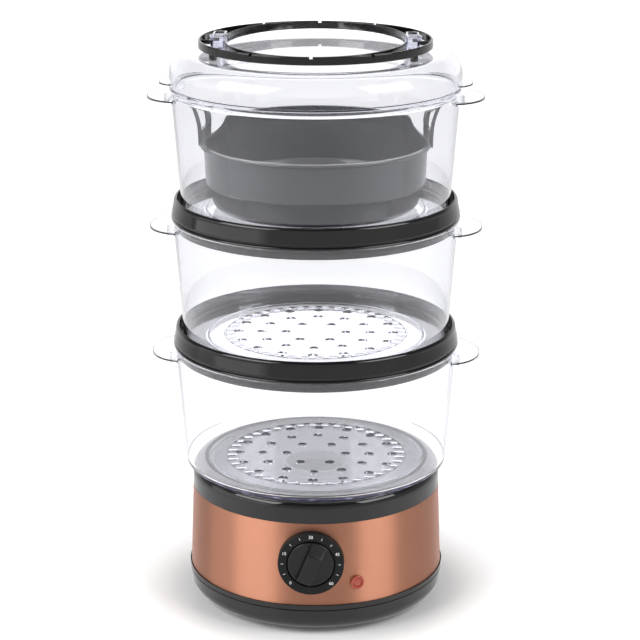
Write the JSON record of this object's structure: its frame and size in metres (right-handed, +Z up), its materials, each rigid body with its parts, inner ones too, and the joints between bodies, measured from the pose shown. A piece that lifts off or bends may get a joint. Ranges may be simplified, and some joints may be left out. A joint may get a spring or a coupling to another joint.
{
  "type": "electric food steamer",
  "caption": "Tiered electric food steamer: clear stacking baskets and lid with black joining collars, a grey rice bowl, and a round copper-banded base with a timer dial.",
  "frame": {"origin": "on the surface the feet stand on, under the middle of the round base", "axes": "+Z up; -Y towards the front with the timer dial; +X towards the right-hand grips"},
  "size_m": [0.2412, 0.209, 0.421],
  "materials": {
    "gloss_black": "gloss",
    "copper_band": "brushed copper colour",
    "matte_black": "matte",
    "dial_black": "satin, white numbers and marks",
    "knob_black": "satin",
    "rubber": "matte",
    "steel": "satin",
    "cast_aluminium": "satin",
    "element_metal": "oxidised",
    "silicone": "matte",
    "component_black": "matte",
    "timer_case": "matte",
    "white_nylon": "matte",
    "red_lens": "translucent gloss",
    "lead_brown": "matte",
    "lead_blue": "matte",
    "sleeve_grey": "satin",
    "clear_plastic": "clear gloss",
    "bowl_grey": "satin"
  },
  "bodies": {
    "base": {"water_tank": "gloss_black", "copper_band": "copper_band", "lower_housing": "gloss_black", "bottom_cover": "matte_black", "rubber_feet": "rubber", "cover_screws": "steel", "heating_plate": "cast_aluminium", "heating_element": "element_metal", "element_seal": "silicone", "element_clamp": "steel", "element_screws": "steel", "thermostat": "component_black", "thermal_fuse": "component_black", "timer_body": "timer_case", "timer_bell": "steel", "timer_screws": "steel", "dial_bezel": "dial_black", "indicator_lens": "red_lens", "indicator_lamp": "component_black", "terminal_block": "white_nylon", "cord_gland": "matte_black", "timer_lead": "lead_brown", "neutral_lead": "lead_blue", "heater_lead": "lead_brown"},
    "timer_dial": {"timer_knob": "knob_black", "timer_shaft": "steel"},
    "sleeve": {"steam_sleeve": "sleeve_grey"},
    "tray": {"drip_tray": "sleeve_grey"},
    "basket_1": {"lower_basket": "clear_plastic"},
    "collar_1": {"lower_collar": "gloss_black"},
    "basket_2": {"middle_basket": "clear_plastic"},
    "collar_2": {"upper_collar": "gloss_black"},
    "basket_3": {"top_basket": "clear_plastic"},
    "bowl": {"rice_bowl": "bowl_grey"},
    "lid_assembly": {"lid": "clear_plastic", "lid_ring_handle": "gloss_black"}
  },
  "joints": [
    {"name": "timer_turn", "type": "hinge", "parent": "base", "child": "timer_dial", "pos_m": [0, -0.09, 0.0575], "axis": [0, 1, 0], "range_deg": [-157.5, 112.5]},
    {"name": "sleeve_lift", "type": "slide", "parent": "base", "child": "sleeve", "axis": [0, 0, 1], "range_m": [0, 0.08]},
    {"name": "tray_lift", "type": "slide", "parent": "sleeve", "child": "tray", "axis": [0, 0, 1], "range_m": [0, 0.04]},
    {"name": "lower_basket_lift", "type": "slide", "parent": "tray", "child": "basket_1", "axis": [0, 0, 1], "range_m": [0, 0.06]},
    {"name": "lower_collar_lift", "type": "slide", "parent": "basket_1", "child": "collar_1", "axis": [0, 0, 1], "range_m": [0, 0.04]},
    {"name": "middle_basket_lift", "type": "slide", "parent": "collar_1", "child": "basket_2", "axis": [0, 0, 1], "range_m": [0, 0.06]},
    {"name": "upper_collar_lift", "type": "slide", "parent": "basket_2", "child": "collar_2", "axis": [0, 0, 1], "range_m": [0, 0.04]},
    {"name": "top_basket_lift", "type": "slide", "parent": "collar_2", "child": "basket_3", "axis": [0, 0, 1], "range_m": [0, 0.06]},
    {"name": "bowl_lift", "type": "slide", "parent": "basket_3", "child": "bowl", "axis": [0, 0, 1], "range_m": [0, 0.1]},
    {"name": "lid_lift", "type": "slide", "parent": "bowl", "child": "lid_assembly", "axis": [0, 0, 1], "range_m": [0, 0.08]}
  ]
}
